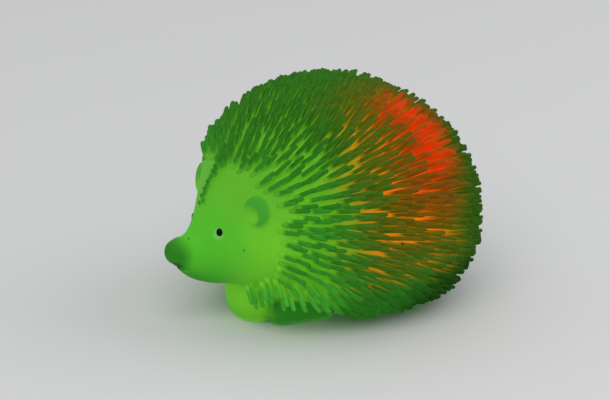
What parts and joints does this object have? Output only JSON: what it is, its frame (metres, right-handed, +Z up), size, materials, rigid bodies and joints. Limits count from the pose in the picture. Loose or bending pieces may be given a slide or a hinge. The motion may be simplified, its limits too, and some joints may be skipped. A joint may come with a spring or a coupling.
{
  "type": "animal-shaped night light",
  "caption": "Soft translucent hedgehog night light with a spiny coat and a round battery light module in its belly.",
  "frame": {"origin": "centre of the footprint on the surface that the hedgehog stands on", "axes": "+Z up, nose towards -X, the hedgehog's left side towards -Y"},
  "size_m": [0.1399, 0.123, 0.0981],
  "materials": {
    "glowing_skin": "soft translucent thermoplastic rubber, satin, lit green from inside",
    "spine_rubber": "soft translucent thermoplastic rubber, satin, lit green and red from inside",
    "eye_bead": "glossy black",
    "housing_plastic": "fine moulded texture",
    "ring_plastic": "moulded grey plastic",
    "screw_steel": "bright zinc plate",
    "frosted_dome": "frosted translucent plastic",
    "board_laminate": "green solder mask",
    "led_green_lens": "clear tinted epoxy, lit",
    "led_red_lens": "clear tinted epoxy, lit",
    "led_white_lens": "clear epoxy, lit",
    "black_epoxy": "black encapsulant",
    "contact_metal": "nickel plated",
    "switch_plastic": "black moulded plastic",
    "cell_steel": "polished can",
    "wire_red": "PVC insulation",
    "wire_black": "PVC insulation",
    "wire_pale": "PVC insulation"
  },
  "bodies": {
    "hedgehog": {"body_skin": "glowing_skin", "spine_coat_front_left": "spine_rubber", "spine_coat_front_right": "spine_rubber", "spine_coat_rear_left": "spine_rubber", "spine_coat_rear_right": "spine_rubber", "eye_left": "eye_bead", "eye_right": "eye_bead", "base_housing": "housing_plastic", "clamp_ring": "ring_plastic", "base_screw_1": "screw_steel", "base_screw_2": "screw_steel", "base_screw_3": "screw_steel", "base_screw_4": "screw_steel", "light_dome": "frosted_dome", "circuit_board": "board_laminate", "board_screw_1": "screw_steel", "board_screw_2": "screw_steel", "board_screw_3": "screw_steel", "led_green": "led_green_lens", "led_red": "led_red_lens", "led_white": "led_white_lens", "controller_blob": "black_epoxy", "resistor_1": "black_epoxy", "resistor_2": "black_epoxy", "resistor_3": "black_epoxy", "switch_body": "contact_metal", "button_cell_1": "cell_steel", "button_cell_2": "cell_steel", "button_cell_3": "cell_steel", "contact_spring": "contact_metal", "contact_plate": "contact_metal", "wire_positive": "wire_red", "wire_negative": "wire_black", "wire_switch_in": "wire_pale", "wire_switch_out": "wire_pale"},
    "switch_slider": {"switch_slider": "switch_plastic"},
    "battery_door": {"battery_door": "housing_plastic"},
    "door_screw_1": {"door_screw_1": "screw_steel"},
    "door_screw_2": {"door_screw_2": "screw_steel"}
  },
  "joints": [
    {"name": "switch_slide", "type": "slide", "parent": "hedgehog", "child": "switch_slider", "axis": [1, 0, 0], "range_m": [-0.0013, 0.0013]},
    {"name": "door_lift", "type": "slide", "parent": "hedgehog", "child": "battery_door", "axis": [0, 0, -1], "range_m": [0, 0.012]},
    {"name": "door_screw_1_turn", "type": "hinge", "parent": "battery_door", "child": "door_screw_1", "pos_m": [0.00254, 0, 0.0004], "axis": [0, 0, 1], "continuous": true},
    {"name": "door_screw_2_turn", "type": "hinge", "parent": "battery_door", "child": "door_screw_2", "pos_m": [0.03145, 0, 0.0004], "axis": [0, 0, 1], "continuous": true}
  ]
}
